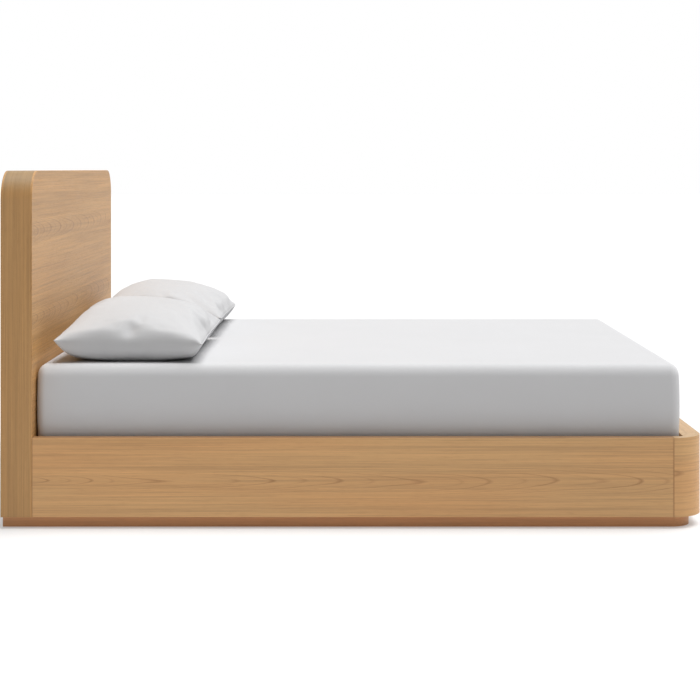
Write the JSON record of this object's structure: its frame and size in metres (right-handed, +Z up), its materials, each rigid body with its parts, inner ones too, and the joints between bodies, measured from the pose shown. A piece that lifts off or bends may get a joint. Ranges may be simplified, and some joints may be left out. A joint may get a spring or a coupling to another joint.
{
  "type": "platform bed",
  "caption": "Low platform bed with a tall rounded oak headboard, round foot corners, a recessed plinth, drawers opening at the foot end, a slatted base, a mattress and pillows.",
  "frame": {"origin": "on the floor, under the middle of the bed's overall box", "axes": "+X from the headboard to the foot, +Y to the sleeper's left when lying on the back, +Z up"},
  "size_m": [2.193, 1.616, 1.114],
  "materials": {
    "oak_veneer": "satin",
    "plinth_wood": "satin",
    "drawer_board": "satin",
    "carcass_board": "matte",
    "pine": "matte",
    "steel": "satin",
    "mattress_ticking": "matte",
    "sheet_cotton": "matte",
    "pillow_cotton": "matte"
  },
  "bodies": {
    "frame": {"base_panel": "carcass_board", "bay_back": "carcass_board", "bay_divider": "carcass_board", "bay_side_left": "carcass_board", "bay_side_right": "carcass_board", "centre_beam": "pine", "centre_leg_1": "pine", "centre_leg_2": "pine", "foot_corner_post_left": "oak_veneer", "foot_corner_post_right": "oak_veneer", "foot_joint_plates": "steel", "foot_top_rail": "oak_veneer", "head_angle_plates": "steel", "head_cross_rail": "pine", "headboard_back_panel": "oak_veneer", "headboard_bolt_blocks": "carcass_board", "headboard_bottom_rail": "carcass_board", "headboard_corner_left": "oak_veneer", "headboard_corner_right": "oak_veneer", "headboard_front_panel": "oak_veneer", "headboard_ribs": "carcass_board", "headboard_side_left": "oak_veneer", "headboard_side_right": "oak_veneer", "headboard_top": "oak_veneer", "plate_screws": "steel", "plinth_centre": "plinth_wood", "plinth_corner_left": "plinth_wood", "plinth_corner_right": "plinth_wood", "plinth_foot": "plinth_wood", "plinth_head": "plinth_wood", "plinth_side_left": "plinth_wood", "plinth_side_right": "plinth_wood", "rail_bolts": "steel", "side_rail_left": "oak_veneer", "side_rail_right": "oak_veneer", "slat_ledge_left": "pine", "slat_ledge_right": "pine", "slats": "pine", "slide_fixed_left": "steel", "slide_fixed_right": "steel"},
    "drawer_left": {"drawer_back_left": "drawer_board", "drawer_bottom_left": "drawer_board", "drawer_front_left": "oak_veneer", "drawer_inner_side_left": "drawer_board", "drawer_outer_side_left": "drawer_board", "slide_drawer_left": "steel"},
    "drawer_right": {"drawer_back_right": "drawer_board", "drawer_bottom_right": "drawer_board", "drawer_front_right": "oak_veneer", "drawer_inner_side_right": "drawer_board", "drawer_outer_side_right": "drawer_board", "slide_drawer_right": "steel"},
    "mattress": {"fitted_sheet": "sheet_cotton", "mattress": "mattress_ticking"},
    "pillow_left": {"pillow_left": "pillow_cotton"},
    "pillow_right": {"pillow_right": "pillow_cotton"},
    "slide_middle_left": {"slide_middle_left": "steel"},
    "slide_middle_right": {"slide_middle_right": "steel"}
  },
  "joints": [
    {"name": "drawer_left_slide", "type": "slide", "parent": "frame", "child": "drawer_left", "axis": [1, 0, 0], "range_m": [0, 0.6]},
    {"name": "slide_middle_left_travel", "type": "slide", "parent": "frame", "child": "slide_middle_left", "axis": [1, 0, 0], "range_m": [0, 0.3]},
    {"name": "drawer_right_slide", "type": "slide", "parent": "frame", "child": "drawer_right", "axis": [1, 0, 0], "range_m": [0, 0.6]},
    {"name": "slide_middle_right_travel", "type": "slide", "parent": "frame", "child": "slide_middle_right", "axis": [1, 0, 0], "range_m": [0, 0.3]},
    {"name": "mattress_lift", "type": "slide", "parent": "frame", "child": "mattress", "axis": [0, 0, 1], "range_m": [0, 0.35]},
    {"name": "pillow_left_lift", "type": "slide", "parent": "mattress", "child": "pillow_left", "axis": [0, 0, 1], "range_m": [0, 0.3]},
    {"name": "pillow_right_lift", "type": "slide", "parent": "mattress", "child": "pillow_right", "axis": [0, 0, 1], "range_m": [0, 0.3]}
  ],
  "couplings": [
    {"joint": "slide_middle_left_travel", "follows": "drawer_left_slide", "ratio": 0.5},
    {"joint": "slide_middle_right_travel", "follows": "drawer_right_slide", "ratio": 0.5}
  ]
}
